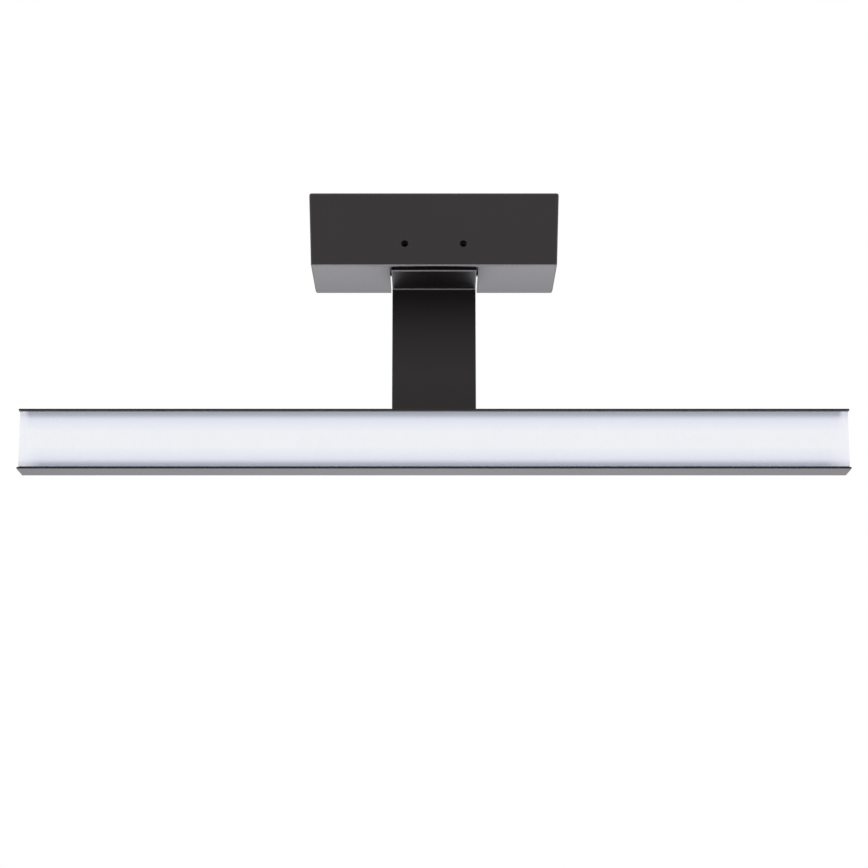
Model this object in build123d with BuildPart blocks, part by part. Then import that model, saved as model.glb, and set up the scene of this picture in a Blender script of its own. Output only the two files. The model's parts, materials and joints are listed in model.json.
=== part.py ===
"""Wall-mounted picture light: an LED head bar on a bent arm below a driver canopy.

Frame: X along the bar, the wall is the plane Y = 0 with the room on the -Y side, Z up.
The origin is the middle of the canopy's wall face. Plane.XZ.offset(d) is the plane d in front of the wall,
so "depth" below always means the distance from the wall, which is -Y.
"""

import os

from build123d import *

os.makedirs("parts", exist_ok=True)

# ---- canopy cover: a box that narrows slightly downward, open at the wall ----
COVER_W_LOW = 120.6
COVER_W_HIGH = 123.2
COVER_H = 37.5
COVER_D = 48.0
COVER_WALL = 1.5
COVER_EDGE_R = 1.1
NOTCH_W = 43.5
NOTCH_DEPTH = 46.0
NOTCH_CORNER_R = 1.5
NOTCH_BOW = 0.3
KEY_X = 14.4
KEY_Z = -7.4
KEY_HOLE_R = 1.75
BOSS_R = 3.2
BOSS_Z = (2.5, -4.8)
BOSS_HOLE_L = 5.0

# ---- arm: one bent strip ----
ARM_W = 42.0
ARM_T = 2.0
ARM_BEND_R = 1.0
ARM_EDGE_R = 0.5
FLANGE_DEPTH = 41.0
LIP_TOP = 8.3
LIP_END_DEPTH = 34.2
LEG_UNDER = -19.5
STRAP_DEPTH = 10.6
STRAP_END = -112.2
ARM_FOOT_R = 4.0

# ---- wall bracket: one bent plate ----
BRACKET_W = 113.0
BRACKET_T = 2.0
BRACKET_LOW = -10.0
BRACKET_HIGH = 14.0
SLOT_X = 48.0
SLOT_L = 10.0
SLOT_R = 2.5
ENTRY_X = -32.0
SHELF_W = 38.0
SHELF_UNDER = -12.0
TAB_DEPTH = 38.0
TAB_TOP = 6.0
TAB_WINDOW_W = 9.0
TAB_WINDOW_LOW = -8.5
BRACKET_CORNER_R = 2.0
BRACKET_BEND_R = 2.0

# ---- head bar ----
BAR_L = 400.0
BAR_H = 29.6
BAR_MID = -106.1
BAR_FRONT = 51.0
BAR_BACK = 34.5
FLANGE_T = 1.0
FLANGE_CORNER_R = 0.5
WEB_T = 1.5
CAP_T = 2.6
CAP_EDGE_R = 0.4
REAR_EDGE_R = 0.8
FRONT_EDGE_R = 0.3
OVERHANG = 0.8
DIFFUSER_T = 1.8
DIFFUSER_R = 0.6
DIFFUSER_FRONT = 50.8
DIFFUSER_BACK = 42.4
BOARD_L = 380.0
BOARD_H = 8.0
BOARD_T = 1.6
TAPE_T = 0.3
CHIP_PITCH = 8.0
CHIP_COUNT = 47
CHIP_W = 2.8
CHIP_H = 3.5
CHIP_T = 0.8
RIB_DEPTH = 43.4
RIB_H = 0.8
OPTIC_GAP = 0.15

# ---- tilt hinge ----
HINGE_DEPTH = 29.0
SPRING_WASHER_R = 3.8
SPRING_WASHER_T = 1.2
BOLT_HEAD_R = 3.5
BOLT_HEAD_H = 3.2
BOLT_KEY_R = 1.73
BOLT_END_X = -19.4
NUT_COLLAR_R = 3.2
NUT_COLLAR_H = 1.4
KNUCKLE_R = 4.5
PIN_R = 2.0
PIN_HOLE_R = 2.05
EAR_IN = 12.0
EAR_T = 2.0
WASHER_T = 0.95
LUG_HALF = 10.95
FOOT_HALF_H = 10.0
FOOT_T = 3.0
LUG_SCREW_X = 6.5
LUG_SCREW_Z = 7.6
LUG_SCREW_L = 4.3
YOKE_TOP = -93.2
YOKE_SCREWS = ((-6.5, -100.2), (6.5, -100.2))

# ---- output cable and its grommets ----
CABLE_X = 6.0
CABLE_R = 1.5
CABLE_DEPTH = 6.0
CABLE_BEND = 2.4
OUTLET_Z = -87.7
HEAD_X = 28.0
HEAD_Z = -97.2
CLIP_Z = (-36.0, -62.0)
CLIP_L = 6.0
CLIP_W = 13.0
CLIP_FOOT_T = 1.0
CLIP_WALL = 1.0

# ---- driver and terminal block ----
DRIVER_X = (-2.0, 36.0)
DRIVER_Z = (-8.0, 14.0)
DRIVER_D = 20.0
DRIVER_WALL = 1.2
EAR_W = 6.5
BLOCK_X = (-23.0, -10.0)
BLOCK_Z = (-9.0, 13.0)
BLOCK_D = 12.0
POLE_Z = (9.0, 2.0, -5.0)
POLE_DEPTH = 7.0
POLE_SCREW_X = (-20.0, -13.0)
POLE_SCREW_R = 1.3
POLE_SCREW_L = 5.0
SLEEVE_R = 2.2
SLEEVE_BORE_R = 1.2
BLOCK_SCREW_R = 1.1
BLOCK_HEAD_R = 2.0
BLOCK_HEAD_H = 1.4
BLOCK_HEAD_SINK = 2.0
WIRE_R = 0.9
DRIVER_IN_DEPTH = 12.0
EAR_Z = (-2.0, 8.0)
EAR_PLATE_T = 2.0
LID_T = 1.4
LID_RIM_H = 2.0
LID_RIM_T = 1.2
LID_GAP = 0.1
VENT_L = 12.0
VENT_W = 1.6
VENT_COUNT = 6
VENT_PITCH = 4.0
CORE_X = (12.5, 24.5)
CORE_Z = (-2.5, 8.5)
CORE_D = 3.5
WINDING_X = (13.5, 23.5)
WINDING_Z = (-4.5, 10.5)
WINDING_D = 5.0
BIG_CAPACITORS = [(30.0, 7.6), (30.0, -1.6)]
SMALL_CAPACITOR = (7.5, 8.6)
EARTH_X = -12.0
EARTH_DEPTH = 28.3
LUG_R = 4.0
LUG_T = 0.8
BARREL_R = 1.5
BARREL_L = 4.0
STAR_WASHER_R = 3.8
STAR_WASHER_T = 0.6

# ---- grommets: neck radius, bore radius, flange radius, flange thickness ----
ENTRY_GROMMET = (5.2, 4.0, 7.0, 1.4)
SHELF_GROMMET = (2.6, 1.6, 2.9, 0.8)
ARM_GROMMET = (3.0, 1.8, 4.2, 0.9)
HEAD_GROMMET = (2.6, 1.65, 3.7, 0.9)

# ---- fasteners ----
SLIP = 0.02
M3_R = 1.5
M3_CLEAR_R = 1.6
M3_HEAD_R = 2.75
M3_HEAD_H = 2.0
M3_NUT_R = 3.17
M3_NUT_H = 2.4
M4_NUT_R = 4.04
M4_NUT_H = 3.2
M4_HOLE_R = 2.1
M4_HEAD_R = 3.6
M4_HEAD_H = 2.4
HOLE_PLAY = 0.02
SET_SCREW_L = 6.0
SET_KEY_R = 0.87
PRESS_NECK_R = 2.1
PRESS_NECK_L = 1.8
PRESS_HEAD_R = 3.1
PRESS_HEAD_H = 2.4
TIP_CHAMFER = 0.3

ROOM = 1
WALL = -1


def finish(part, name):
    """Label a finished piece and write it under its own name."""
    part.label = name
    export_step(part, f"parts/{name}.step")


def discs(points, depth, length, radius, mode=Mode.ADD):
    """Round bosses or holes at (x, z) points, from one depth towards the room."""
    with BuildSketch(Plane.XZ.offset(depth)) as rounds:
        with Locations(*points):
            Circle(radius)
    extrude(rounds.sketch, amount=length, mode=mode)


def block(x_span, z_span, depth, length, mode=Mode.ADD):
    """A rectangular block between two x and two z values, from one depth towards the room."""
    middle = ((x_span[0] + x_span[1]) / 2, (z_span[0] + z_span[1]) / 2)
    with BuildSketch(Plane.XZ.offset(depth)) as face:
        with Locations(middle):
            Rectangle(x_span[1] - x_span[0], z_span[1] - z_span[0])
    extrude(face.sketch, amount=length, mode=mode)


def pan_screws(points, seat, facing, shank_l, shank_r=M3_R, head_r=M3_HEAD_R, head_h=M3_HEAD_H):
    """Socket pan-head screws along Y; the heads stand on the seat depth and face the room or the wall."""
    with BuildPart() as screws:
        with BuildSketch(Plane.XZ.offset(seat)):
            with Locations(*points):
                Circle(head_r)
        extrude(amount=facing * head_h)
        rims = screws.edges().filter_by(GeomType.CIRCLE).group_by(Axis.Y)[0 if facing == ROOM else -1]
        fillet(rims, 0.35 * head_h)
        discs(points, seat, -facing * shank_l, shank_r)
        with BuildSketch(Plane.XZ.offset(seat + facing * head_h)):
            with Locations(*points):
                RegularPolygon(0.42 * head_r, 6)
        extrude(amount=-facing * 0.6 * head_h, mode=Mode.SUBTRACT)
    return screws.part


def hex_nuts(points, depth, height, across_r, bore_r):
    """Hexagon nuts along Y, from one depth towards the room."""
    with BuildPart() as nuts:
        with BuildSketch(Plane.XZ.offset(depth)):
            with Locations(*points):
                RegularPolygon(across_r, 6)
                Circle(bore_r, mode=Mode.SUBTRACT)
        extrude(amount=height)
    return nuts.part


def grommet(point, depth, sheet_t, size, flanges):
    """A rubber grommet in a sheet parallel to the wall, with flanges on the named sides."""
    neck_r, bore_r, flange_r, flange_t = size
    with BuildPart() as ring:
        discs([point], depth, sheet_t, neck_r)
        if ROOM in flanges:
            discs([point], depth + sheet_t, flange_t, flange_r)
        if WALL in flanges:
            discs([point], depth - flange_t, flange_t, flange_r)
        rims = ring.edges().filter_by(GeomType.CIRCLE).filter_by(lambda e: e.radius == flange_r)
        fillet(rims, 0.4 * flange_t)
        discs([point], depth - flange_t - 1, sheet_t + 2 * flange_t + 2, bore_r, Mode.SUBTRACT)
    return ring.part


def wire_along(lines, radius):
    """A round wire or cable swept along a smooth path."""
    with BuildPart() as wire:
        with BuildLine() as path:
            add(lines)
        with BuildSketch(Plane(path.line @ 0, z_dir=path.line % 0)):
            Circle(radius)
        sweep()
    return wire.part


# ======================= canopy =======================
low = COVER_W_LOW / 2
high = COVER_W_HIGH / 2
floor_z = -COVER_H / 2
roof_z = COVER_H / 2
boss_places = [(0, z) for z in BOSS_Z]
key_places = [(-KEY_X, KEY_Z), (KEY_X, KEY_Z)]
corners = ((-low, floor_z), (low, floor_z), (high, roof_z), (-high, roof_z))

with BuildPart() as canopy_cover:
    with BuildSketch(Plane.XZ):
        Polygon(*corners, align=None)
    extrude(amount=COVER_D)
    rear_x = canopy_cover.edges().filter_by(Axis.X).group_by(Axis.Y)[-1]
    fillet(canopy_cover.edges() - rear_x, COVER_EDGE_R)
    with BuildSketch(Plane.XZ):
        Polygon(*corners, align=None)
        offset(amount=-COVER_WALL, mode=Mode.REPLACE)
    extrude(amount=COVER_D - COVER_WALL, mode=Mode.SUBTRACT)
    half = NOTCH_W / 2
    tangent_y = -NOTCH_DEPTH + NOTCH_CORNER_R
    with BuildSketch(Plane.XY.offset(floor_z - 1)):
        with BuildLine():
            right = Line((half, 0), (half, tangent_y))
            left = Line((-half, 0), (-half, tangent_y))
            bow_r = RadiusArc(right @ 1, (half - NOTCH_CORNER_R, -NOTCH_DEPTH), NOTCH_CORNER_R)
            bow_l = RadiusArc((NOTCH_CORNER_R - half, -NOTCH_DEPTH), left @ 1, NOTCH_CORNER_R)
            ThreePointArc(bow_r @ 1, (0, -NOTCH_DEPTH - NOTCH_BOW), bow_l @ 0)
            Line(left @ 0, right @ 0)
        make_face()
    extrude(amount=COVER_WALL + 2, mode=Mode.SUBTRACT)
    discs(boss_places, FLANGE_DEPTH, COVER_D - COVER_WALL - FLANGE_DEPTH, BOSS_R)
    discs(boss_places, FLANGE_DEPTH, BOSS_HOLE_L, M3_R + SLIP, Mode.SUBTRACT)
    discs(key_places, COVER_D - COVER_WALL - 1, COVER_WALL + 2, KEY_HOLE_R, Mode.SUBTRACT)
finish(canopy_cover.part, "canopy_cover")

with BuildPart() as arm_strap:
    core = ARM_T / 2
    with BuildSketch(Plane.YZ):
        with BuildLine():
            Polyline(
                (-LIP_END_DEPTH, LIP_TOP - core),
                (-FLANGE_DEPTH + core, LIP_TOP - core),
                (-FLANGE_DEPTH + core, LEG_UNDER + core),
                (-STRAP_DEPTH + core, LEG_UNDER + core),
                (-STRAP_DEPTH + core, STRAP_END),
            )
        trace(line_width=ARM_T)
    extrude(amount=ARM_W / 2, both=True)
    long_edges = arm_strap.edges().filter_by(Axis.X)
    leg_bends = long_edges.filter_by_position(Axis.Z, LEG_UNDER - 0.1, LEG_UNDER + ARM_T + 0.1)
    lip_bends = long_edges.filter_by_position(Axis.Y, -FLANGE_DEPTH - 0.1, -FLANGE_DEPTH + ARM_T + 0.1)
    fillet(leg_bends + (lip_bends - leg_bends), ARM_BEND_R)
    fillet(arm_strap.edges().filter_by(Axis.Y).group_by(Axis.Z)[0], ARM_FOOT_R)
    fillet(arm_strap.faces().filter_by(Axis.X).edges(), ARM_EDGE_R)
    flange_holes = FLANGE_DEPTH - ARM_T - 1
    discs(key_places, flange_holes, ARM_T + 2, PRESS_NECK_R + HOLE_PLAY, Mode.SUBTRACT)
    discs(boss_places, flange_holes, ARM_T + 2, M3_CLEAR_R, Mode.SUBTRACT)
    strap_holes = STRAP_DEPTH - ARM_T - 1
    discs(YOKE_SCREWS, strap_holes, ARM_T + 2, M3_CLEAR_R, Mode.SUBTRACT)
    discs([(CABLE_X, OUTLET_Z)], strap_holes, ARM_T + 2, ARM_GROMMET[0] + HOLE_PLAY, Mode.SUBTRACT)
finish(arm_strap.part, "arm_strap")

with BuildPart() as arm_press_nuts:
    discs(key_places, FLANGE_DEPTH - PRESS_NECK_L, PRESS_NECK_L, PRESS_NECK_R)
    discs(key_places, FLANGE_DEPTH, PRESS_HEAD_H, PRESS_HEAD_R)
    chamfer(arm_press_nuts.edges().filter_by(GeomType.CIRCLE).group_by(Axis.Y)[0], TIP_CHAMFER)
    press_nut_l = PRESS_NECK_L + PRESS_HEAD_H
    discs(key_places, FLANGE_DEPTH - PRESS_NECK_L, press_nut_l, M3_R + SLIP, Mode.SUBTRACT)
finish(arm_press_nuts.part, "arm_press_nuts")

with BuildPart() as arm_set_screws:
    discs(key_places, TAB_DEPTH, SET_SCREW_L, M3_R)
    tips = arm_set_screws.edges().filter_by(GeomType.CIRCLE).group_by(Axis.Y)
    chamfer(tips[0] + tips[-1], TIP_CHAMFER)
    with BuildSketch(Plane.XZ.offset(TAB_DEPTH + SET_SCREW_L)):
        with Locations(*key_places):
            RegularPolygon(SET_KEY_R, 6)
    extrude(amount=-2.0, mode=Mode.SUBTRACT)
finish(arm_set_screws.part, "arm_set_screws")

cover_screw_l = ARM_T + BOSS_HOLE_L - 0.5
finish(pan_screws(boss_places, FLANGE_DEPTH - ARM_T, WALL, cover_screw_l), "cover_screws")

# ======================= wall bracket =======================
ear_z = sum(EAR_Z) / 2
driver_ears = [(DRIVER_X[0] - EAR_W / 2, ear_z), (DRIVER_X[1] + EAR_W / 2, ear_z)]
block_screw_places = [(-16.5, 5.5), (-16.5, -1.5)]

with BuildPart() as wall_bracket:
    block((-BRACKET_W / 2, BRACKET_W / 2), (BRACKET_LOW, BRACKET_HIGH), 0, BRACKET_T)
    fillet(wall_bracket.edges().filter_by(Axis.Y), BRACKET_CORNER_R)
    with BuildSketch(Plane.YZ):
        with BuildLine():
            FilletPolyline(
                (-BRACKET_T / 2, BRACKET_LOW + 3),
                (-BRACKET_T / 2, SHELF_UNDER + BRACKET_T / 2),
                (-TAB_DEPTH + BRACKET_T / 2, SHELF_UNDER + BRACKET_T / 2),
                (-TAB_DEPTH + BRACKET_T / 2, TAB_TOP),
                radius=BRACKET_BEND_R,
            )
        trace(line_width=BRACKET_T)
    extrude(amount=SHELF_W / 2, both=True)
    window_x = (-TAB_WINDOW_W / 2, TAB_WINDOW_W / 2)
    window_z = (TAB_WINDOW_LOW, TAB_TOP + 1)
    block(window_x, window_z, TAB_DEPTH - BRACKET_T - 1, BRACKET_T + 2, Mode.SUBTRACT)
    with BuildSketch(Plane.XZ.offset(-1)):
        with Locations((-SLOT_X, 0), (SLOT_X, 0)):
            SlotOverall(SLOT_L, 2 * SLOT_R)
    extrude(amount=BRACKET_T + 2, mode=Mode.SUBTRACT)
    discs([(ENTRY_X, 0)], -1, BRACKET_T + 2, ENTRY_GROMMET[0] + HOLE_PLAY, Mode.SUBTRACT)
    discs(driver_ears, -1, BRACKET_T + 2, M3_R + SLIP, Mode.SUBTRACT)
    discs(block_screw_places, -1, BRACKET_T + 2, BLOCK_SCREW_R + HOLE_PLAY, Mode.SUBTRACT)
    with BuildSketch(Plane.XY.offset(SHELF_UNDER - 1)):
        with Locations((EARTH_X, -EARTH_DEPTH)):
            Circle(PIN_R + HOLE_PLAY)
        with Locations((CABLE_X, -CABLE_DEPTH)):
            Circle(SHELF_GROMMET[0] + HOLE_PLAY)
    extrude(amount=BRACKET_T + 2, mode=Mode.SUBTRACT)
finish(wall_bracket.part, "wall_bracket")

finish(grommet((ENTRY_X, 0), 0, BRACKET_T, ENTRY_GROMMET, [ROOM]), "entry_grommet")

with BuildPart() as shelf_grommet:
    neck_r, bore_r, flange_r, flange_t = SHELF_GROMMET
    for level, height, radius in (
        (SHELF_UNDER - flange_t, flange_t, flange_r),
        (SHELF_UNDER, BRACKET_T, neck_r),
        (SHELF_UNDER + BRACKET_T, flange_t, flange_r),
    ):
        with BuildSketch(Plane.XY.offset(level)):
            with Locations((CABLE_X, -CABLE_DEPTH)):
                Circle(radius)
        extrude(amount=height)
    with BuildSketch(Plane.XY.offset(SHELF_UNDER - flange_t)):
        with Locations((CABLE_X, -CABLE_DEPTH)):
            Circle(bore_r)
    extrude(amount=BRACKET_T + 2 * flange_t, mode=Mode.SUBTRACT)
finish(shelf_grommet.part, "shelf_grommet")

# ======================= earth point on the shelf =======================
shelf_top = SHELF_UNDER + BRACKET_T
barrel_z = shelf_top + BARREL_R
barrel_start = EARTH_DEPTH - 5.0 - BARREL_L

with BuildPart() as earth_lug:
    with BuildSketch(Plane.XY.offset(shelf_top)):
        with Locations((EARTH_X, -EARTH_DEPTH)):
            Circle(LUG_R)
        with Locations((EARTH_X, -EARTH_DEPTH + 5.0)):
            Rectangle(2 * BARREL_R, 5.0)
    extrude(amount=LUG_T)
    with BuildSketch(Plane.XZ.offset(barrel_start)):
        with Locations((EARTH_X, barrel_z)):
            Circle(BARREL_R)
    extrude(amount=BARREL_L)
    with BuildSketch(Plane.XZ.offset(barrel_start - 0.5)):
        with Locations((EARTH_X, barrel_z)):
            Circle(WIRE_R + SLIP)
    extrude(amount=BARREL_L + 1, mode=Mode.SUBTRACT)
    with BuildSketch(Plane.XY.offset(shelf_top)):
        with Locations((EARTH_X, -EARTH_DEPTH)):
            Circle(M4_HOLE_R)
    extrude(amount=LUG_T, mode=Mode.SUBTRACT)
finish(earth_lug.part, "earth_lug")

with BuildPart() as earth_washer:
    with BuildSketch(Plane.XY.offset(shelf_top + LUG_T)):
        with Locations((EARTH_X, -EARTH_DEPTH)):
            Circle(STAR_WASHER_R)
            Circle(M4_HOLE_R, mode=Mode.SUBTRACT)
    extrude(amount=STAR_WASHER_T)
finish(earth_washer.part, "earth_washer")

earth_seat = shelf_top + LUG_T + STAR_WASHER_T
with BuildPart() as earth_screw:
    with BuildSketch(Plane.XY.offset(earth_seat)):
        with Locations((EARTH_X, -EARTH_DEPTH)):
            Circle(M4_HEAD_R)
    extrude(amount=M4_HEAD_H)
    fillet(earth_screw.edges().group_by(Axis.Z)[-1], 0.8)
    with BuildSketch(Plane.XY.offset(earth_seat)):
        with Locations((EARTH_X, -EARTH_DEPTH)):
            Circle(PIN_R)
    extrude(amount=-7.0)
    with BuildSketch(Plane.XY.offset(earth_seat + M4_HEAD_H)):
        with Locations((EARTH_X, -EARTH_DEPTH)):
            Rectangle(4.2, 0.9)
            Rectangle(0.9, 4.2)
    extrude(amount=-1.4, mode=Mode.SUBTRACT)
finish(earth_screw.part, "earth_screw")

with BuildPart() as earth_nut:
    with BuildSketch(Plane.XY.offset(SHELF_UNDER)):
        with Locations((EARTH_X, -EARTH_DEPTH)):
            RegularPolygon(M4_NUT_R, 6)
            Circle(PIN_R + SLIP, mode=Mode.SUBTRACT)
    extrude(amount=-M4_NUT_H)
finish(earth_nut.part, "earth_nut")

# ======================= driver =======================
seat = BRACKET_T
inner_x = (DRIVER_X[0] + DRIVER_WALL, DRIVER_X[1] - DRIVER_WALL)
inner_z = (DRIVER_Z[0] + DRIVER_WALL, DRIVER_Z[1] - DRIVER_WALL)

with BuildPart() as driver_case:
    block(DRIVER_X, DRIVER_Z, seat, DRIVER_D)
    fillet(driver_case.edges().filter_by(Axis.Y), 1.5)
    block((DRIVER_X[0] - EAR_W, DRIVER_X[1] + EAR_W), EAR_Z, seat, EAR_PLATE_T)
    block(inner_x, inner_z, seat + DRIVER_WALL, DRIVER_D, Mode.SUBTRACT)
    discs(driver_ears, seat - 1, EAR_PLATE_T + 2, M3_CLEAR_R, Mode.SUBTRACT)
    with BuildSketch(Plane.YZ.offset(DRIVER_X[0] - 1)):
        with Locations(*[(-DRIVER_IN_DEPTH, z) for z in POLE_Z[:2]]):
            Circle(WIRE_R + 0.15)
    extrude(amount=DRIVER_WALL + 2, mode=Mode.SUBTRACT)
    with BuildSketch(Plane.XY.offset(DRIVER_Z[0] - 1)):
        with Locations((CABLE_X, -CABLE_DEPTH)):
            Circle(CABLE_R + 0.1)
    extrude(amount=DRIVER_WALL + 2, mode=Mode.SUBTRACT)
finish(driver_case.part, "driver_case")

with BuildPart() as driver_lid:
    block(DRIVER_X, DRIVER_Z, seat + DRIVER_D, LID_T)
    fillet(driver_lid.edges().filter_by(Axis.Y), 1.5)
    rim_x = (inner_x[0] + LID_GAP, inner_x[1] - LID_GAP)
    rim_z = (inner_z[0] + LID_GAP, inner_z[1] - LID_GAP)
    block(rim_x, rim_z, seat + DRIVER_D - LID_RIM_H, LID_RIM_H)
    hollow_x = (rim_x[0] + LID_RIM_T, rim_x[1] - LID_RIM_T)
    hollow_z = (rim_z[0] + LID_RIM_T, rim_z[1] - LID_RIM_T)
    block(hollow_x, hollow_z, seat + DRIVER_D - LID_RIM_H, LID_RIM_H, Mode.SUBTRACT)
    with BuildSketch(Plane.XZ.offset(seat + DRIVER_D + LID_T)):
        with GridLocations(VENT_PITCH, 0, VENT_COUNT, 1):
            with Locations((sum(DRIVER_X) / 2, sum(DRIVER_Z) / 2)):
                SlotOverall(VENT_L, VENT_W, rotation=90)
    extrude(amount=-LID_T, mode=Mode.SUBTRACT)
finish(driver_lid.part, "driver_lid")

board_front = seat + DRIVER_WALL + 0.4 + BOARD_T
with BuildPart() as driver_board:
    board_x = (inner_x[0] + 0.4, inner_x[1] - 0.4)
    board_z = (inner_z[0] + 1.0, inner_z[1] - 0.4)
    block(board_x, board_z, board_front - BOARD_T, BOARD_T)
finish(driver_board.part, "driver_board")

with BuildPart() as driver_transformer:
    for start in (board_front, board_front + CORE_D + WINDING_D):
        block(CORE_X, CORE_Z, start, CORE_D)
    block(WINDING_X, WINDING_Z, board_front + CORE_D, WINDING_D)
    fillet(driver_transformer.edges().filter_by(Axis.Y), 0.5)
finish(driver_transformer.part, "driver_transformer")

with BuildPart() as driver_capacitors:
    discs(BIG_CAPACITORS, board_front, 11.0, 3.9)
    discs([SMALL_CAPACITOR], board_front, 9.0, 2.8)
    fillet(driver_capacitors.edges().filter_by(GeomType.CIRCLE), 0.4)
finish(driver_capacitors.part, "driver_capacitors")

driver_screw_l = EAR_PLATE_T + BRACKET_T - 0.2
finish(pan_screws(driver_ears, seat + EAR_PLATE_T, ROOM, driver_screw_l), "driver_screws")

# ======================= terminal block =======================
block_seat = seat + BLOCK_D - BLOCK_HEAD_SINK

with BuildPart() as terminal_block:
    block(BLOCK_X, BLOCK_Z, seat, BLOCK_D)
    fillet(terminal_block.edges().filter_by(Axis.Y), 0.8)
    with BuildSketch(Plane.YZ.offset(BLOCK_X[0])):
        with Locations(*[(-POLE_DEPTH, z) for z in POLE_Z]):
            Circle(SLEEVE_R + HOLE_PLAY)
    extrude(amount=BLOCK_X[1] - BLOCK_X[0], mode=Mode.SUBTRACT)
    pole_screw_places = [(x, z) for x in POLE_SCREW_X for z in POLE_Z]
    discs(pole_screw_places, POLE_DEPTH, BLOCK_D, POLE_SCREW_R + 0.3, Mode.SUBTRACT)
    discs(block_screw_places, seat, BLOCK_D, BLOCK_SCREW_R + HOLE_PLAY, Mode.SUBTRACT)
    discs(block_screw_places, block_seat, BLOCK_HEAD_SINK, BLOCK_HEAD_R + 0.1, Mode.SUBTRACT)
finish(terminal_block.part, "terminal_block")

with BuildPart() as terminal_sleeves:
    with BuildSketch(Plane.YZ.offset(BLOCK_X[0] + 1)):
        with Locations(*[(-POLE_DEPTH, z) for z in POLE_Z]):
            Circle(SLEEVE_R)
            Circle(SLEEVE_BORE_R, mode=Mode.SUBTRACT)
    extrude(amount=BLOCK_X[1] - BLOCK_X[0] - 2)
    discs(pole_screw_places, POLE_DEPTH, SLEEVE_R + 1, POLE_SCREW_R + SLIP, Mode.SUBTRACT)
finish(terminal_sleeves.part, "terminal_sleeves")

with BuildPart() as terminal_screws:
    discs(pole_screw_places, POLE_DEPTH + 1.0, POLE_SCREW_L, POLE_SCREW_R)
    with BuildSketch(Plane.XZ.offset(POLE_DEPTH + 1.0 + POLE_SCREW_L)):
        with Locations(*pole_screw_places):
            Rectangle(2 * POLE_SCREW_R, 0.5)
    extrude(amount=-0.8, mode=Mode.SUBTRACT)
finish(terminal_screws.part, "terminal_screws")

block_screws = pan_screws(
    block_screw_places,
    block_seat,
    ROOM,
    block_seat - 0.3,
    BLOCK_SCREW_R,
    BLOCK_HEAD_R,
    BLOCK_HEAD_H,
)
finish(block_screws, "block_screws")

# ======================= inner wires =======================
for name, pole_z in (("live_wire", POLE_Z[0]), ("neutral_wire", POLE_Z[1])):
    with BuildLine() as route:
        inlet = Line((-13.5, -POLE_DEPTH, pole_z), (-9.2, -POLE_DEPTH, pole_z))
        outlet = Line((-3.0, -DRIVER_IN_DEPTH, pole_z), (1.0, -DRIVER_IN_DEPTH, pole_z))
        Spline(inlet @ 1, outlet @ 0, tangents=[(1, 0, 0), (1, 0, 0)])
    finish(wire_along(route.line, WIRE_R), name)

with BuildLine() as earth_route:
    pole = Line((-13.5, -POLE_DEPTH, POLE_Z[2]), (-9.0, -POLE_DEPTH, POLE_Z[2]))
    lug_end = Line(
        (EARTH_X, -barrel_start + 1.0, barrel_z),
        (EARTH_X, -barrel_start - BARREL_L + 0.2, barrel_z),
    )
    middle = (-7.4, -12.5, -6.9)
    Bezier(pole @ 1, (-6.8, -POLE_DEPTH, -5.2), (-6.8, -9.5, -6.2), middle)
    Bezier(middle, (-7.9, -15.0, -7.5), (EARTH_X, -15.6, barrel_z), lug_end @ 0)
finish(wire_along(earth_route.line, WIRE_R), "earth_wire")

# ======================= output cable behind the arm =======================
turn = CABLE_DEPTH + CABLE_BEND
with BuildLine() as cable_route:
    drop = Line((CABLE_X, -CABLE_DEPTH, -6.3), (CABLE_X, -CABLE_DEPTH, OUTLET_Z + CABLE_BEND))
    run_out = Line((CABLE_X, -turn, OUTLET_Z), (CABLE_X, -13.5, OUTLET_Z))
    TangentArc(drop @ 1, run_out @ 0, tangent=(0, 0, -1))
finish(wire_along(cable_route.line, CABLE_R), "output_cable")

strap_back = STRAP_DEPTH - ARM_T
finish(grommet((CABLE_X, OUTLET_Z), strap_back, ARM_T, ARM_GROMMET, [ROOM, WALL]), "arm_grommet")

with BuildPart() as cable_clips:
    clip_h = strap_back - CABLE_DEPTH
    for clip_z in CLIP_Z:
        with BuildSketch(Plane.XY.offset(clip_z - CLIP_L / 2)):
            with Locations((CABLE_X, -strap_back + CLIP_FOOT_T / 2)):
                Rectangle(CLIP_W, CLIP_FOOT_T)
            with Locations((CABLE_X, -CABLE_DEPTH)):
                Circle(CABLE_R + CLIP_WALL)
            with Locations((CABLE_X, -strap_back + clip_h / 2)):
                Rectangle(2 * (CABLE_R + CLIP_WALL), clip_h)
            with Locations((CABLE_X, -CABLE_DEPTH)):
                Circle(CABLE_R + 0.05, mode=Mode.SUBTRACT)
        extrude(amount=CLIP_L)
finish(cable_clips.part, "cable_clips")

# ======================= tilt hinge: fixed side =======================
hinge_at = (-HINGE_DEPTH, BAR_MID)
ear_low = BAR_MID - KNUCKLE_R
ear_face = EAR_IN + EAR_T

with BuildPart() as hinge_yoke:
    block((-ear_face, ear_face), (STRAP_END, YOKE_TOP), STRAP_DEPTH, EAR_T)
    for side in (-ear_face, EAR_IN):
        with BuildSketch(Plane.YZ.offset(side)) as ear:
            with Locations(hinge_at):
                Circle(KNUCKLE_R)
            with Locations((-STRAP_DEPTH - 1.5, (ear_low + YOKE_TOP - 1) / 2)):
                Rectangle(3.0, YOKE_TOP - 1 - ear_low)
            make_hull(ear.edges())
        extrude(amount=EAR_T)
    back_edges = hinge_yoke.edges().filter_by(Axis.Z).group_by(Axis.Y)[-1]
    fillet(back_edges, 1.2)
    with BuildSketch(Plane.YZ.offset(-ear_face - 1)):
        with Locations(hinge_at):
            Circle(PIN_HOLE_R)
    extrude(amount=2 * ear_face + 2, mode=Mode.SUBTRACT)
    discs(YOKE_SCREWS, STRAP_DEPTH - 1, EAR_T + 2, M3_CLEAR_R, Mode.SUBTRACT)
finish(hinge_yoke.part, "hinge_yoke")

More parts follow.
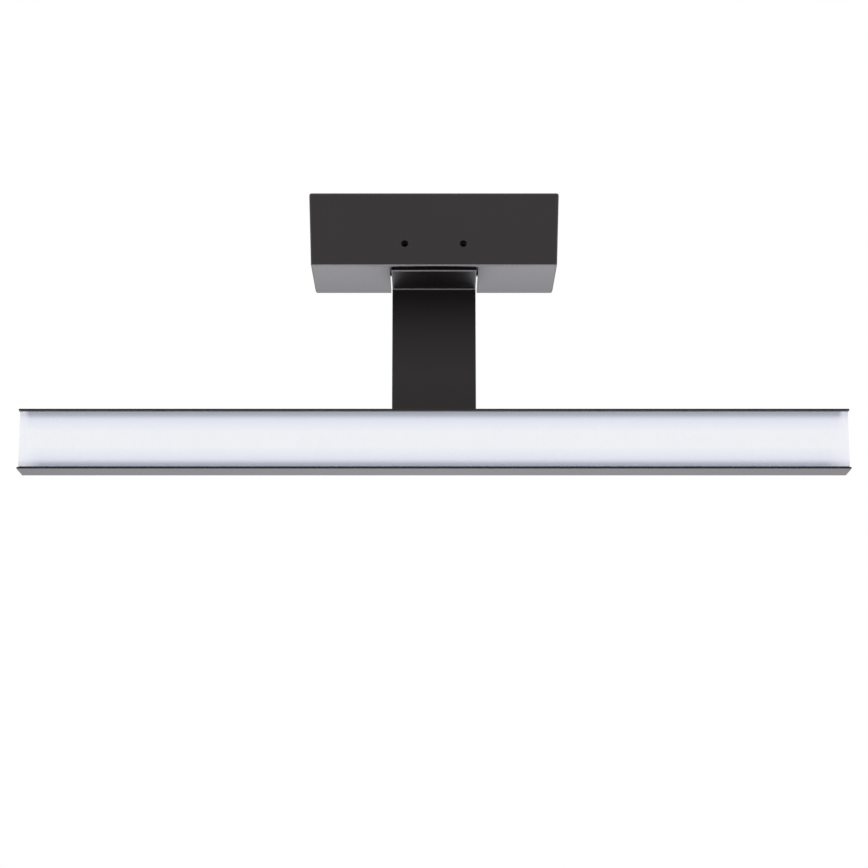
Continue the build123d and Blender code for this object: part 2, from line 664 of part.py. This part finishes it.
finish(pan_screws(YOKE_SCREWS, STRAP_DEPTH + EAR_T, ROOM, 7.0), "yoke_screws")
finish(hex_nuts(YOKE_SCREWS, strap_back - M3_NUT_H, M3_NUT_H, M3_NUT_R, M3_R + SLIP), "yoke_nuts")

bolt_seat = ear_face + SPRING_WASHER_T
with BuildPart() as hinge_bolt:
    with BuildSketch(Plane.YZ.offset(bolt_seat)):
        with Locations(hinge_at):
            Circle(BOLT_HEAD_R)
    extrude(amount=BOLT_HEAD_H)
    fillet(hinge_bolt.edges().group_by(Axis.X)[-1], 0.5)
    with BuildSketch(Plane.YZ.offset(bolt_seat)):
        with Locations(hinge_at):
            Circle(PIN_R)
    extrude(amount=BOLT_END_X - bolt_seat)
    chamfer(hinge_bolt.edges().group_by(Axis.X)[0], 0.4)
    with BuildSketch(Plane.YZ.offset(bolt_seat + BOLT_HEAD_H)):
        with Locations(hinge_at):
            RegularPolygon(BOLT_KEY_R, 6)
    extrude(amount=-2.0, mode=Mode.SUBTRACT)
finish(hinge_bolt.part, "hinge_bolt")

with BuildPart() as spring_washer:
    with BuildSketch(Plane.YZ.offset(ear_face)):
        with Locations(hinge_at):
            Circle(SPRING_WASHER_R)
    extrude(amount=SPRING_WASHER_T, taper=25)
    with BuildSketch(Plane.YZ.offset(ear_face)):
        with Locations(hinge_at):
            Circle(M4_HOLE_R)
    extrude(amount=SPRING_WASHER_T, mode=Mode.SUBTRACT)
finish(spring_washer.part, "spring_washer")

with BuildPart() as hinge_nut:
    with BuildSketch(Plane.YZ.offset(-ear_face)):
        with Locations(hinge_at):
            RegularPolygon(M4_NUT_R, 6)
    extrude(amount=-M4_NUT_H)
    with BuildSketch(Plane.YZ.offset(-ear_face - M4_NUT_H)):
        with Locations(hinge_at):
            Circle(NUT_COLLAR_R)
    extrude(amount=-NUT_COLLAR_H)
    with BuildSketch(Plane.YZ.offset(-ear_face)):
        with Locations(hinge_at):
            Circle(PIN_R + SLIP)
    extrude(amount=-M4_NUT_H - NUT_COLLAR_H, mode=Mode.SUBTRACT)
finish(hinge_nut.part, "hinge_nut")

with BuildPart() as friction_washers:
    for side in (-EAR_IN, EAR_IN - WASHER_T):
        with BuildSketch(Plane.YZ.offset(side)):
            with Locations(hinge_at):
                Circle(KNUCKLE_R)
                Circle(PIN_HOLE_R + 0.05, mode=Mode.SUBTRACT)
        extrude(amount=WASHER_T)
finish(friction_washers.part, "friction_washers")

# ======================= tilt hinge: head side =======================
lug_screw_places = [
    (x, BAR_MID + z)
    for x in (-LUG_SCREW_X, LUG_SCREW_X)
    for z in (-LUG_SCREW_Z, LUG_SCREW_Z)
]

with BuildPart() as hinge_lug:
    with BuildSketch(Plane.YZ):
        with BuildSketch(Plane.YZ, mode=Mode.PRIVATE) as knuckle:
            with Locations(hinge_at):
                Circle(KNUCKLE_R)
            with Locations((-BAR_BACK + FOOT_T / 2, BAR_MID)):
                Rectangle(FOOT_T, 2 * KNUCKLE_R + 2)
        make_hull(knuckle.edges())
        with Locations((-BAR_BACK + FOOT_T / 2, BAR_MID)):
            Rectangle(FOOT_T, 2 * FOOT_HALF_H)
    extrude(amount=LUG_HALF, both=True)
    with BuildSketch(Plane.YZ.offset(-LUG_HALF - 1)):
        with Locations(hinge_at):
            Circle(PIN_HOLE_R)
    extrude(amount=2 * LUG_HALF + 2, mode=Mode.SUBTRACT)
    discs(lug_screw_places, BAR_BACK - FOOT_T - 1, FOOT_T + 2, M3_R + SLIP, Mode.SUBTRACT)
finish(hinge_lug.part, "hinge_lug")

web_front = BAR_BACK + WEB_T
finish(pan_screws(lug_screw_places, web_front, ROOM, LUG_SCREW_L), "lug_screws")

# ======================= head bar =======================
inner_half = BAR_H / 2 - FLANGE_T
optic_half = inner_half - OPTIC_GAP
optic_len = BAR_L - 2 * OVERHANG

with BuildPart() as channel_body:
    with BuildSketch(Plane.YZ):
        with Locations((-(BAR_FRONT + BAR_BACK) / 2, BAR_MID)):
            Rectangle(BAR_FRONT - BAR_BACK, BAR_H)
        with Locations((-(BAR_FRONT + web_front) / 2, BAR_MID)):
            Rectangle(BAR_FRONT - web_front, 2 * inner_half, mode=Mode.SUBTRACT)
    extrude(amount=BAR_L / 2, both=True)
    fillet(channel_body.edges().filter_by(Axis.Z).group_by(Axis.Y)[0], FLANGE_CORNER_R)
    rear_edges = channel_body.edges().filter_by(Axis.X).group_by(Axis.Y)[-1]
    fillet(rear_edges, REAR_EDGE_R)
    front_edges = channel_body.edges().filter_by(Axis.X).group_by(Axis.Y)[0]
    fillet(front_edges, FRONT_EDGE_R)
    with BuildSketch(Plane.YZ):
        for sign in (-1, 1):
            with Locations((-RIB_DEPTH - 0.5, BAR_MID + sign * (inner_half - 0.2))):
                Rectangle(1.0, RIB_H)
    extrude(amount=optic_len / 2 - CAP_T - 0.1, both=True)
    discs(lug_screw_places, BAR_BACK - 1, WEB_T + 2, M3_CLEAR_R, Mode.SUBTRACT)
    discs([(HEAD_X, HEAD_Z)], BAR_BACK - 1, WEB_T + 2, HEAD_GROMMET[0] + HOLE_PLAY, Mode.SUBTRACT)
finish(channel_body.part, "channel_body")

led_x = (-BOARD_L / 2, BOARD_L / 2)
led_z = (BAR_MID - BOARD_H / 2, BAR_MID + BOARD_H / 2)
led_face = web_front + TAPE_T + BOARD_T

with BuildPart() as thermal_tape:
    block(led_x, led_z, web_front, TAPE_T)
finish(thermal_tape.part, "thermal_tape")

with BuildPart() as led_board:
    block(led_x, led_z, web_front + TAPE_T, BOARD_T)
finish(led_board.part, "led_board")

with BuildPart() as led_chips:
    with BuildSketch(Plane.XZ.offset(led_face)):
        with Locations((0, BAR_MID)):
            with GridLocations(CHIP_PITCH, 0, CHIP_COUNT, 1):
                Rectangle(CHIP_W, CHIP_H)
    extrude(amount=CHIP_T)
finish(led_chips.part, "led_chips")


def optic_outline():
    """Outer outline of the opal optic and its end caps in the YZ plane, open towards the wall."""
    return FilletPolyline(
        (-DIFFUSER_BACK, BAR_MID + optic_half),
        (-DIFFUSER_FRONT, BAR_MID + optic_half),
        (-DIFFUSER_FRONT, BAR_MID - optic_half),
        (-DIFFUSER_BACK, BAR_MID - optic_half),
        radius=DIFFUSER_R,
    )


with BuildPart() as diffuser:
    with BuildSketch(Plane.YZ):
        with BuildLine():
            outline = optic_outline()
            Line(outline @ 1, outline @ 0)
        make_face()
        with Locations((-(DIFFUSER_FRONT + DIFFUSER_BACK) / 2 + DIFFUSER_T / 2, BAR_MID)):
            inner_h = 2 * (optic_half - DIFFUSER_T)
            RectangleRounded(DIFFUSER_FRONT - DIFFUSER_BACK - DIFFUSER_T, inner_h, 1.2, mode=Mode.SUBTRACT)
        with Locations((-DIFFUSER_BACK - 1, BAR_MID)):
            Rectangle(4, inner_h, mode=Mode.SUBTRACT)
        for sign in (-1, 1):
            with Locations((-RIB_DEPTH - 0.5, BAR_MID + sign * (optic_half - 0.3))):
                Rectangle(1.3, 0.61, mode=Mode.SUBTRACT)
    extrude(amount=optic_len / 2 - CAP_T, both=True)
finish(diffuser.part, "diffuser")

for name, start in (("end_cap_left", -optic_len / 2), ("end_cap_right", optic_len / 2 - CAP_T)):
    with BuildPart() as end_cap:
        with BuildSketch(Plane.YZ.offset(start)):
            with BuildLine():
                outline = optic_outline()
                low_back = Line(outline @ 1, (-web_front - 0.1, BAR_MID - optic_half))
                high_back = Line((-web_front - 0.1, BAR_MID + optic_half), outline @ 0)
                Line(low_back @ 1, high_back @ 0)
            make_face()
        extrude(amount=CAP_T)
        outer = end_cap.edges().group_by(Axis.X)[0 if start < 0 else -1]
        fillet(outer, CAP_EDGE_R)
    finish(end_cap.part, name)

finish(grommet((HEAD_X, HEAD_Z), BAR_BACK, WEB_T, HEAD_GROMMET, [ROOM, WALL]), "head_grommet")

with BuildLine() as head_route:
    inside = led_face + 0.2 + CABLE_R
    enter = Line((HEAD_X, -31.5, HEAD_Z), (HEAD_X, -inside + CABLE_BEND, HEAD_Z))
    pads = Line((HEAD_X, -inside, HEAD_Z - CABLE_BEND), (HEAD_X, -inside, BAR_MID + BOARD_H / 2 - 0.6))
    TangentArc(enter @ 1, pads @ 0, tangent=(0, -1, 0))
finish(wire_along(head_route.line, CABLE_R), "head_cable")
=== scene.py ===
"""Picture light: looks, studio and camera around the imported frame. Units are metres."""

import json
import math

import bmesh
import bpy
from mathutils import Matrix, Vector

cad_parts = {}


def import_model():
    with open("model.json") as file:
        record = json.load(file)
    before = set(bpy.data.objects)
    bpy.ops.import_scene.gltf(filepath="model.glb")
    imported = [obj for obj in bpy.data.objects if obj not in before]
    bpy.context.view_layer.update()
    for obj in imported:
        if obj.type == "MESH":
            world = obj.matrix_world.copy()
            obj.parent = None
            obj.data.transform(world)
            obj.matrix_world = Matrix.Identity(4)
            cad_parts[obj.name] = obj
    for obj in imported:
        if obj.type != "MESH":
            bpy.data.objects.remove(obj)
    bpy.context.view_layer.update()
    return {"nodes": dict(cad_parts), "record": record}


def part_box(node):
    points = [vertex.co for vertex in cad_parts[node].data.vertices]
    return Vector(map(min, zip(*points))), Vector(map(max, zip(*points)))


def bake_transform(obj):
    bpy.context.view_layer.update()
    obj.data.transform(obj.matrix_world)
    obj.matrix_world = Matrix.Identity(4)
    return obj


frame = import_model()

NODES = frame["nodes"]
SLOT_OF = {s["node"]: s["material_slot"] for s in frame["record"]["subparts"]}
MM = 0.001

# Brightness of what glossy surfaces see, by the upward part of the direction.
# One table is for directions towards the wall, the other for directions towards the room.
BRIGHTEST = 5.0
BELOW_TINT = (0.99, 1.0, 1.045)
PLAIN_TINT = (1, 1, 1)
SIDE_BLEND = 0.3
AMBIENT = (1.0, 1.0, 1.035, 1)
TOWARDS_WALL = (
    (-1.0, 5.0),
    (-0.60, 3.2),
    (-0.40, 3.2),
    (-0.30, 2.4),
    (-0.20, 0.9),
    (-0.10, 0.35),
    (0.3, 0.5),
    (1.0, 1.1),
)
TOWARDS_ROOM = (
    (-1.0, 5.0),
    (-0.60, 3.2),
    (-0.30, 0.6),
    (-0.15, 0.1),
    (0.0, 0.40),
    (0.15, 0.80),
    (0.4, 1.05),
    (1.0, 1.1),
)

FLOOR_Z = -1.2
FLOOR_REACH = 60
CAMERA_AT = (0, -1.129, -0.3448)
CAMERA_UP = 12.6
LENS = 95.4
SENSOR = 36

# Lead across the hinge.
LEAD_R = 1.9 * MM
LEAD_RIB = 0.05
CABLE_R = 1.5 * MM
LEAD_LET_IN = 1.5 * MM
LEAD_ARM_PULL = 6 * MM
LEAD_HEAD_PULL = 7 * MM
LEAD_BOW = (0, 1 * MM, 1 * MM)
LEAD_STEPS = 72
LEAD_AROUND = 20
LEAD_AHEAD = 0.01

# How square to an axis a face must be for the coat to count it as flat, and as fully bent, and how
# many times the sheen fully bent faces get as a painted highlight.
FLAT = 0.97
BENT = 0.80
BEND_SHEEN = 2


# ---------------------------------------------------------------- shader helpers
class Graph:
    """A material being built: short calls that add a node, set its inputs and return it."""

    def __init__(self, name):
        self.material = bpy.data.materials.new(name)
        self.material.use_nodes = True
        self.tree = self.material.node_tree
        self.bsdf = self.tree.nodes["Principled BSDF"]
        self.where = self.tree.nodes.new("ShaderNodeTexCoord").outputs["Object"]

    def put(self, socket, value):
        if isinstance(value, bpy.types.NodeSocket):
            self.tree.links.new(value, socket)
        elif isinstance(value, (tuple, list)) and len(value) == 3 and socket.type == "RGBA":
            socket.default_value = (*value, 1.0)
        else:
            socket.default_value = value

    def node(self, kind, inputs=None, **settings):
        made = self.tree.nodes.new(kind)
        for key, value in settings.items():
            setattr(made, key, value)
        for key, value in (inputs or {}).items():
            self.put(made.inputs[key], value)
        return made

    def surface(self, **inputs):
        for key, value in inputs.items():
            self.put(self.bsdf.inputs[key.replace("_", " ")], value)

    def noise(self, size, detail=2.0, rough=0.5, stretch=(1, 1, 1)):
        """Noise whose features are about size metres across."""
        place = self.node("ShaderNodeMapping", {"Vector": self.where, "Scale": stretch})
        inputs = {"Vector": place.outputs[0], "Scale": 1 / size, "Detail": detail, "Roughness": rough}
        return self.node("ShaderNodeTexNoise", inputs).outputs["Fac"]

    def ramp(self, value, low, high, out_low, out_high):
        """Map a value from one range to another, clamped."""
        inputs = {"Value": value, "From Min": low, "From Max": high}
        inputs.update({"To Min": out_low, "To Max": out_high})
        return self.node("ShaderNodeMapRange", inputs).outputs[0]

    def split(self, vector):
        """The X, Y and Z parts of a vector."""
        return self.node("ShaderNodeSeparateXYZ", {"Vector": vector}).outputs

    def mix(self, factor, a, b, blend="MIX"):
        node = self.node("ShaderNodeMix", data_type="RGBA", blend_type=blend)
        for socket, value in zip((node.inputs[0], node.inputs[6], node.inputs[7]), (factor, a, b)):
            self.put(socket, value)
        return node.outputs[2]

    def math(self, operation, a, b=0.0):
        node = self.node("ShaderNodeMath", operation=operation)
        self.put(node.inputs[0], a)
        self.put(node.inputs[1], b)
        return node.outputs[0]

    def relief(self, layers, edge=0.0):
        """Bump from (height value, depth in metres) layers over softly rounded edges."""
        normal = None
        if edge:
            normal = self.node("ShaderNodeBevel", {"Radius": edge}, samples=4).outputs[0]
        for height, depth in layers:
            inputs = {"Height": height, "Distance": depth, "Strength": 1.0}
            if normal is not None:
                inputs["Normal"] = normal
            normal = self.node("ShaderNodeBump", inputs).outputs[0]
        self.surface(Normal=normal)


# ---------------------------------------------------------------- materials
def powder_coat(name="powder_coat", sheen=0.5, fall=None):
    """Satin black coat with a painted highlight along bends, where faces not square to an axis get
    more sheen.

    fall = (axis, start, end, factor) paints shade: it dims the sheen of flats to factor times the
    sheen as the size of the axis coordinate goes from start to end.
    """
    g = Graph(name)
    cloud = g.noise(18 * MM, 3)
    grain = g.noise(0.55 * MM, 3, 0.6)
    peel = g.noise(1.6 * MM, 1)
    tint = g.mix(cloud, (0.0052, 0.0036, 0.0040), (0.0066, 0.0048, 0.0052))
    fleck = g.ramp(g.noise(0.35 * MM, 2), 0.66, 0.76, 0.0, 0.35)
    shine = sheen
    if fall:
        axis, start, end, factor = fall
        away = g.math("ABSOLUTE", g.split(g.where)[axis])
        shine = g.ramp(away, start, end, sheen, sheen * factor)
    facing = g.node("ShaderNodeTexCoord").outputs["Normal"]
    sizes = [g.math("ABSOLUTE", part) for part in g.split(facing)]
    squarest = g.math("MAXIMUM", sizes[0], g.math("MAXIMUM", sizes[1], sizes[2]))
    # Raised sheen on bends is a painted highlight; sheen dimmed by fall is painted shade.
    g.surface(
        Base_Color=g.mix(fleck, tint, (0.040, 0.036, 0.037)),
        Roughness=g.ramp(grain, 0.25, 0.75, 0.40, 0.50),
        Specular_IOR_Level=g.ramp(squarest, FLAT, BENT, shine, BEND_SHEEN * sheen),
        Specular_Tint=(1.0, 0.94, 0.97),
        IOR=1.5,
    )
    g.relief([(peel, 0.009 * MM), (grain, 0.009 * MM)], edge=0.15 * MM)
    return g.material


def bare_steel(name, colour, dull):
    """Bare or plated metal with fine streaks along X."""
    g = Graph(name)
    streak = g.noise(0.4 * MM, 4, 0.6, (0.06, 1, 1))
    patch = g.noise(6 * MM, 3)
    dark = tuple(0.72 * c for c in colour)
    g.surface(
        Base_Color=g.mix(patch, colour, dark),
        Metallic=1.0,
        Roughness=g.ramp(streak, 0.3, 0.7, dull - 0.07, dull + 0.12),
    )
    g.relief([(streak, 0.004 * MM)], edge=0.2 * MM)
    return g.material


def plastic(name, colour, rough, grain, vary=0.12, sheen=0.5):
    """Moulded plastic, paint or board with a grain of so many millimetres."""
    g = Graph(name)
    texture = g.noise(grain * MM, 2)
    cloud = g.noise(9 * MM, 2)
    shade = tuple((1 - vary) * c for c in colour)
    g.surface(
        Base_Color=g.mix(cloud, colour, shade),
        Roughness=g.ramp(texture, 0.3, 0.7, rough - 0.06, rough + 0.06),
        Specular_IOR_Level=sheen,
    )
    g.relief([(texture, 0.008 * MM)], edge=0.2 * MM)
    return g.material


# Painted shade on the optic: its colour relative to its middle, by distance from the middle line (1
# at its edges).
OPAL_SHADE = (
    (0.28, (0.965, 0.965, 0.95)),
    (0.45, (0.91, 0.925, 0.94)),
    (0.58, (0.875, 0.89, 0.91)),
    (0.69, (0.83, 0.85, 0.88)),
    (0.75, (0.76, 0.77, 0.82)),
    (0.79, (0.66, 0.68, 0.73)),
    (0.83, (0.56, 0.58, 0.65)),
    (0.87, (0.46, 0.49, 0.55)),
    (0.92, (0.39, 0.42, 0.46)),
    (1.0, (0.37, 0.39, 0.43)),
)


# Painted shade on the optic: how far below the middle it is centred, and how far in from the ends it
# fades at the bottom and at the top.
OPAL_MIDDLE_DROP = 0.3 * MM
OPAL_FADE_LOW = 9 * MM
OPAL_FADE_HIGH = 1.5 * MM


def opal():
    """Opal acrylic with painted shade, cooler and darker towards the black flanges, fading partly out
    towards its ends.
    """
    g = Graph("opal")
    low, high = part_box("diffuser")
    middle = (low.z + high.z) / 2 - OPAL_MIDDLE_DROP
    half = (high.z - low.z) / 2
    parts = g.split(g.where)
    away = g.math("DIVIDE", g.math("ABSOLUTE", g.math("SUBTRACT", parts[2], middle)), half)
    shade = g.node("ShaderNodeValToRGB", {"Fac": away})
    stops = shade.color_ramp.elements
    stops[0].position, stops[-1].position = OPAL_SHADE[0][0], OPAL_SHADE[-1][0]
    stops[0].color, stops[-1].color = (*OPAL_SHADE[0][1], 1), (*OPAL_SHADE[-1][1], 1)
    for where, colour in OPAL_SHADE[1:-1]:
        stops.new(where).color = (*colour, 1)
    fade = g.ramp(parts[2], low.z, high.z, OPAL_FADE_LOW, OPAL_FADE_HIGH)
    inward = g.math("SUBTRACT", high.x, g.math("ABSOLUTE", parts[0]))
    full = g.ramp(g.math("DIVIDE", inward, fade), -0.1, 1.0, 0.45, 1.0)
    milk = g.mix(g.noise(25 * MM, 2), (0.925, 0.932, 0.955), (0.905, 0.912, 0.942))
    g.surface(
        Base_Color=g.mix(full, milk, shade.outputs[0], "MULTIPLY"),
        Roughness=g.ramp(g.noise(0.5 * MM, 2), 0.3, 0.7, 0.34, 0.42),
    )
    g.relief([(g.noise(0.6 * MM, 2), 0.002 * MM)], edge=0.1 * MM)
    return g.material


MAKERS = {
    "black_metal": powder_coat,
    "dark_steel": lambda: plastic("dark_steel", (0.010, 0.010, 0.011), 0.55, 0.25, sheen=0.3),
    "screw_steel": lambda: bare_steel("screw_steel", (0.36, 0.36, 0.37), 0.34),
    "black_screw": lambda: bare_steel("black_screw", (0.030, 0.029, 0.030), 0.55),
    "aluminium": lambda: bare_steel("aluminium", (0.46, 0.47, 0.48), 0.38),
    "tin": lambda: bare_steel("tin", (0.42, 0.42, 0.41), 0.34),
    "brass": lambda: bare_steel("brass", (0.50, 0.35, 0.14), 0.32),
    "opal": opal,
    "board": lambda: plastic("board", (0.85, 0.86, 0.85), 0.4, 0.2),
    "chip": lambda: plastic("chip", (0.90, 0.75, 0.22), 0.35, 0.2),
    "tape": lambda: plastic("tape", (0.70, 0.73, 0.78), 0.7, 0.4),
    "rubber": lambda: plastic("rubber", (0.018, 0.018, 0.018), 0.62, 0.25),
    "nylon_white": lambda: plastic("nylon_white", (0.80, 0.79, 0.74), 0.45, 0.3),
    "nylon_black": lambda: plastic("nylon_black", (0.014, 0.014, 0.015), 0.6, 0.3, sheen=0.1),
    "case_plastic": lambda: plastic("case_plastic", (0.016, 0.016, 0.017), 0.6, 0.4, sheen=0.1),
    "green_board": lambda: plastic("green_board", (0.03, 0.16, 0.06), 0.35, 0.3),
    "transformer": lambda: plastic("transformer", (0.62, 0.46, 0.06), 0.4, 0.5),
    "capacitor": lambda: plastic("capacitor", (0.02, 0.03, 0.08), 0.25, 0.5),
    "wire_brown": lambda: plastic("wire_brown", (0.12, 0.035, 0.012), 0.35, 0.4),
    "wire_blue": lambda: plastic("wire_blue", (0.02, 0.07, 0.38), 0.35, 0.4),
    "wire_earth": lambda: plastic("wire_earth", (0.12, 0.32, 0.02), 0.35, 0.4),
    "cable": lambda: plastic("cable", (0.014, 0.014, 0.015), 0.42, 0.35),
}
materials = {slot: make() for slot, make in MAKERS.items()}
# Own coats with painted shade: the sheen of flats dims towards the wall on the canopy, towards the
# canopy on the arm and towards the ends on the bar.
own_coat = {
    "canopy_cover": powder_coat("canopy_coat", 0.59, (1, 48 * MM, 0, 0.62)),
    "arm_strap": powder_coat("arm_coat", 0.5, (2, 64 * MM, 19 * MM, 0.55)),
    "channel_body": powder_coat("bar_coat", 0.36, (0, 0, 200 * MM, 0.75)),
}
for name, obj in NODES.items():
    for place in obj.material_slots:
        place.material = own_coat.get(name, materials[SLOT_OF[name]])


# ---------------------------------------------------------------- lead across the hinge
def hinge_lead():
    """The soft sleeved lead from the arm's grommet to the head's, bowed up clear of the yoke."""
    low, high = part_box("output_cable")
    head_low, head_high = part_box("head_cable")
    start = Vector(((low.x + high.x) / 2, low.y, low.z + CABLE_R))
    end = Vector(((head_low.x + head_high.x) / 2, head_high.y, head_high.z - CABLE_R))
    out = Vector((0, -1, 0))
    points = [
        start - out * LEAD_LET_IN,
        start + out * LEAD_ARM_PULL,
        end - out * LEAD_HEAD_PULL,
        end + out * LEAD_LET_IN,
    ]
    bow = Vector(LEAD_BOW)

    def middle(t):
        return bezier(points, t) + bow * math.sin(math.pi * t) ** 2

    mesh = bpy.data.meshes.new("hinge_lead")
    bm = bmesh.new()
    rings = []
    for i in range(LEAD_STEPS + 1):
        t = i / LEAD_STEPS
        here = middle(t)
        ahead = middle(min(t + LEAD_AHEAD, 1))
        back = middle(max(t - LEAD_AHEAD, 0))
        along = (ahead - back).normalized()
        side = along.cross(Vector((0, 0, 1))).normalized()
        up = side.cross(along)
        r = LEAD_R * (1 + LEAD_RIB * math.cos(i * math.pi))
        ring = []
        for k in range(LEAD_AROUND):
            a = 2 * math.pi * k / LEAD_AROUND
            ring.append(bm.verts.new(here + (side * math.cos(a) + up * math.sin(a)) * r))
        rings.append(ring)
    for one, two in zip(rings, rings[1:]):
        for k in range(LEAD_AROUND):
            n = (k + 1) % LEAD_AROUND
            bm.faces.new((one[k], one[n], two[n], two[k]))
    bm.faces.new(list(reversed(rings[0])))
    bm.faces.new(rings[-1])
    bmesh.ops.recalc_face_normals(bm, faces=bm.faces)
    bm.to_mesh(mesh)
    bm.free()
    mesh.shade_smooth()
    obj = bpy.data.objects.new("hinge_lead", mesh)
    bpy.context.scene.collection.objects.link(obj)
    mesh.materials.append(materials["rubber"])
    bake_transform(obj)


def bezier(p, t):
    """Point at t along the cubic curve with four control points p."""
    u = 1 - t
    return p[0] * u**3 + p[1] * 3 * u * u * t + p[2] * 3 * u * t * t + p[3] * t**3


hinge_lead()


# ---------------------------------------------------------------- studio
def floor():
    mesh = bpy.data.meshes.new("floor")
    bm = bmesh.new()
    bmesh.ops.create_grid(bm, x_segments=1, y_segments=1, size=FLOOR_REACH)
    bm.to_mesh(mesh)
    bm.free()
    obj = bpy.data.objects.new("floor", mesh)
    obj.location.z = FLOOR_Z
    bpy.context.scene.collection.objects.link(obj)
    g = Graph("studio_floor")
    pale = g.mix(g.noise(0.4, 2), (0.97, 0.97, 0.97), (0.95, 0.95, 0.95))
    g.surface(Base_Color=pale, Roughness=0.8)
    mesh.materials.append(g.material)
    obj.visible_glossy = False


def world():
    """White to the camera. What surfaces reflect differs by height and by side of the room."""
    made = bpy.data.worlds.new("studio")
    made.use_nodes = True
    tree = made.node_tree
    nodes = tree.nodes
    place = nodes.new("ShaderNodeTexCoord")
    split = nodes.new("ShaderNodeSeparateXYZ")
    tree.links.new(place.outputs["Generated"], split.inputs[0])
    height = nodes.new("ShaderNodeMapRange")
    height.inputs["From Min"].default_value = -1
    tree.links.new(split.outputs[2], height.inputs["Value"])
    side = nodes.new("ShaderNodeMapRange")
    side.interpolation_type = "SMOOTHSTEP"
    side.inputs["From Min"].default_value = -SIDE_BLEND
    side.inputs["From Max"].default_value = SIDE_BLEND
    tree.links.new(split.outputs[1], side.inputs["Value"])
    blend = nodes.new("ShaderNodeMix")
    blend.data_type = "RGBA"
    tree.links.new(side.outputs[0], blend.inputs[0])
    for socket, levels in ((blend.inputs[6], TOWARDS_ROOM), (blend.inputs[7], TOWARDS_WALL)):
        ramp = nodes.new("ShaderNodeValToRGB")
        tree.links.new(height.outputs[0], ramp.inputs["Fac"])
        stops = ramp.color_ramp.elements
        for where, _ in levels[1:-1]:
            stops.new((where + 1) / 2)
        for stop, (where, level) in zip(stops, levels):
            tint = BELOW_TINT if where < 0 else PLAIN_TINT
            stop.color = (*[part * level / BRIGHTEST for part in tint], 1)
        tree.links.new(ramp.outputs["Color"], socket)
    glossy = nodes["Background"]
    tree.links.new(blend.outputs[2], glossy.inputs["Color"])
    glossy.inputs["Strength"].default_value = BRIGHTEST
    plain = nodes.new("ShaderNodeBackground")
    plain.inputs["Color"].default_value = (1, 1, 1, 1)
    ambient = nodes.new("ShaderNodeBackground")
    ambient.inputs["Color"].default_value = AMBIENT
    rays = nodes.new("ShaderNodeLightPath")
    unseen = nodes.new("ShaderNodeMixShader")
    tree.links.new(rays.outputs["Is Glossy Ray"], unseen.inputs[0])
    tree.links.new(ambient.outputs[0], unseen.inputs[1])
    tree.links.new(glossy.outputs[0], unseen.inputs[2])
    choose = nodes.new("ShaderNodeMixShader")
    tree.links.new(rays.outputs["Is Camera Ray"], choose.inputs[0])
    tree.links.new(unseen.outputs[0], choose.inputs[1])
    tree.links.new(plain.outputs[0], choose.inputs[2])
    tree.links.new(choose.outputs[0], nodes["World Output"].inputs["Surface"])
    bpy.context.scene.world = made


def camera():
    data = bpy.data.cameras.new("camera")
    data.sensor_width = SENSOR
    data.lens = LENS
    data.clip_start = 0.01
    obj = bpy.data.objects.new("camera", data)
    obj.location = CAMERA_AT
    obj.rotation_euler = (math.radians(90 + CAMERA_UP), 0, 0)
    bpy.context.scene.collection.objects.link(obj)
    bpy.context.scene.camera = obj


floor()
world()
camera()
bpy.context.scene.view_settings.view_transform = "Standard"
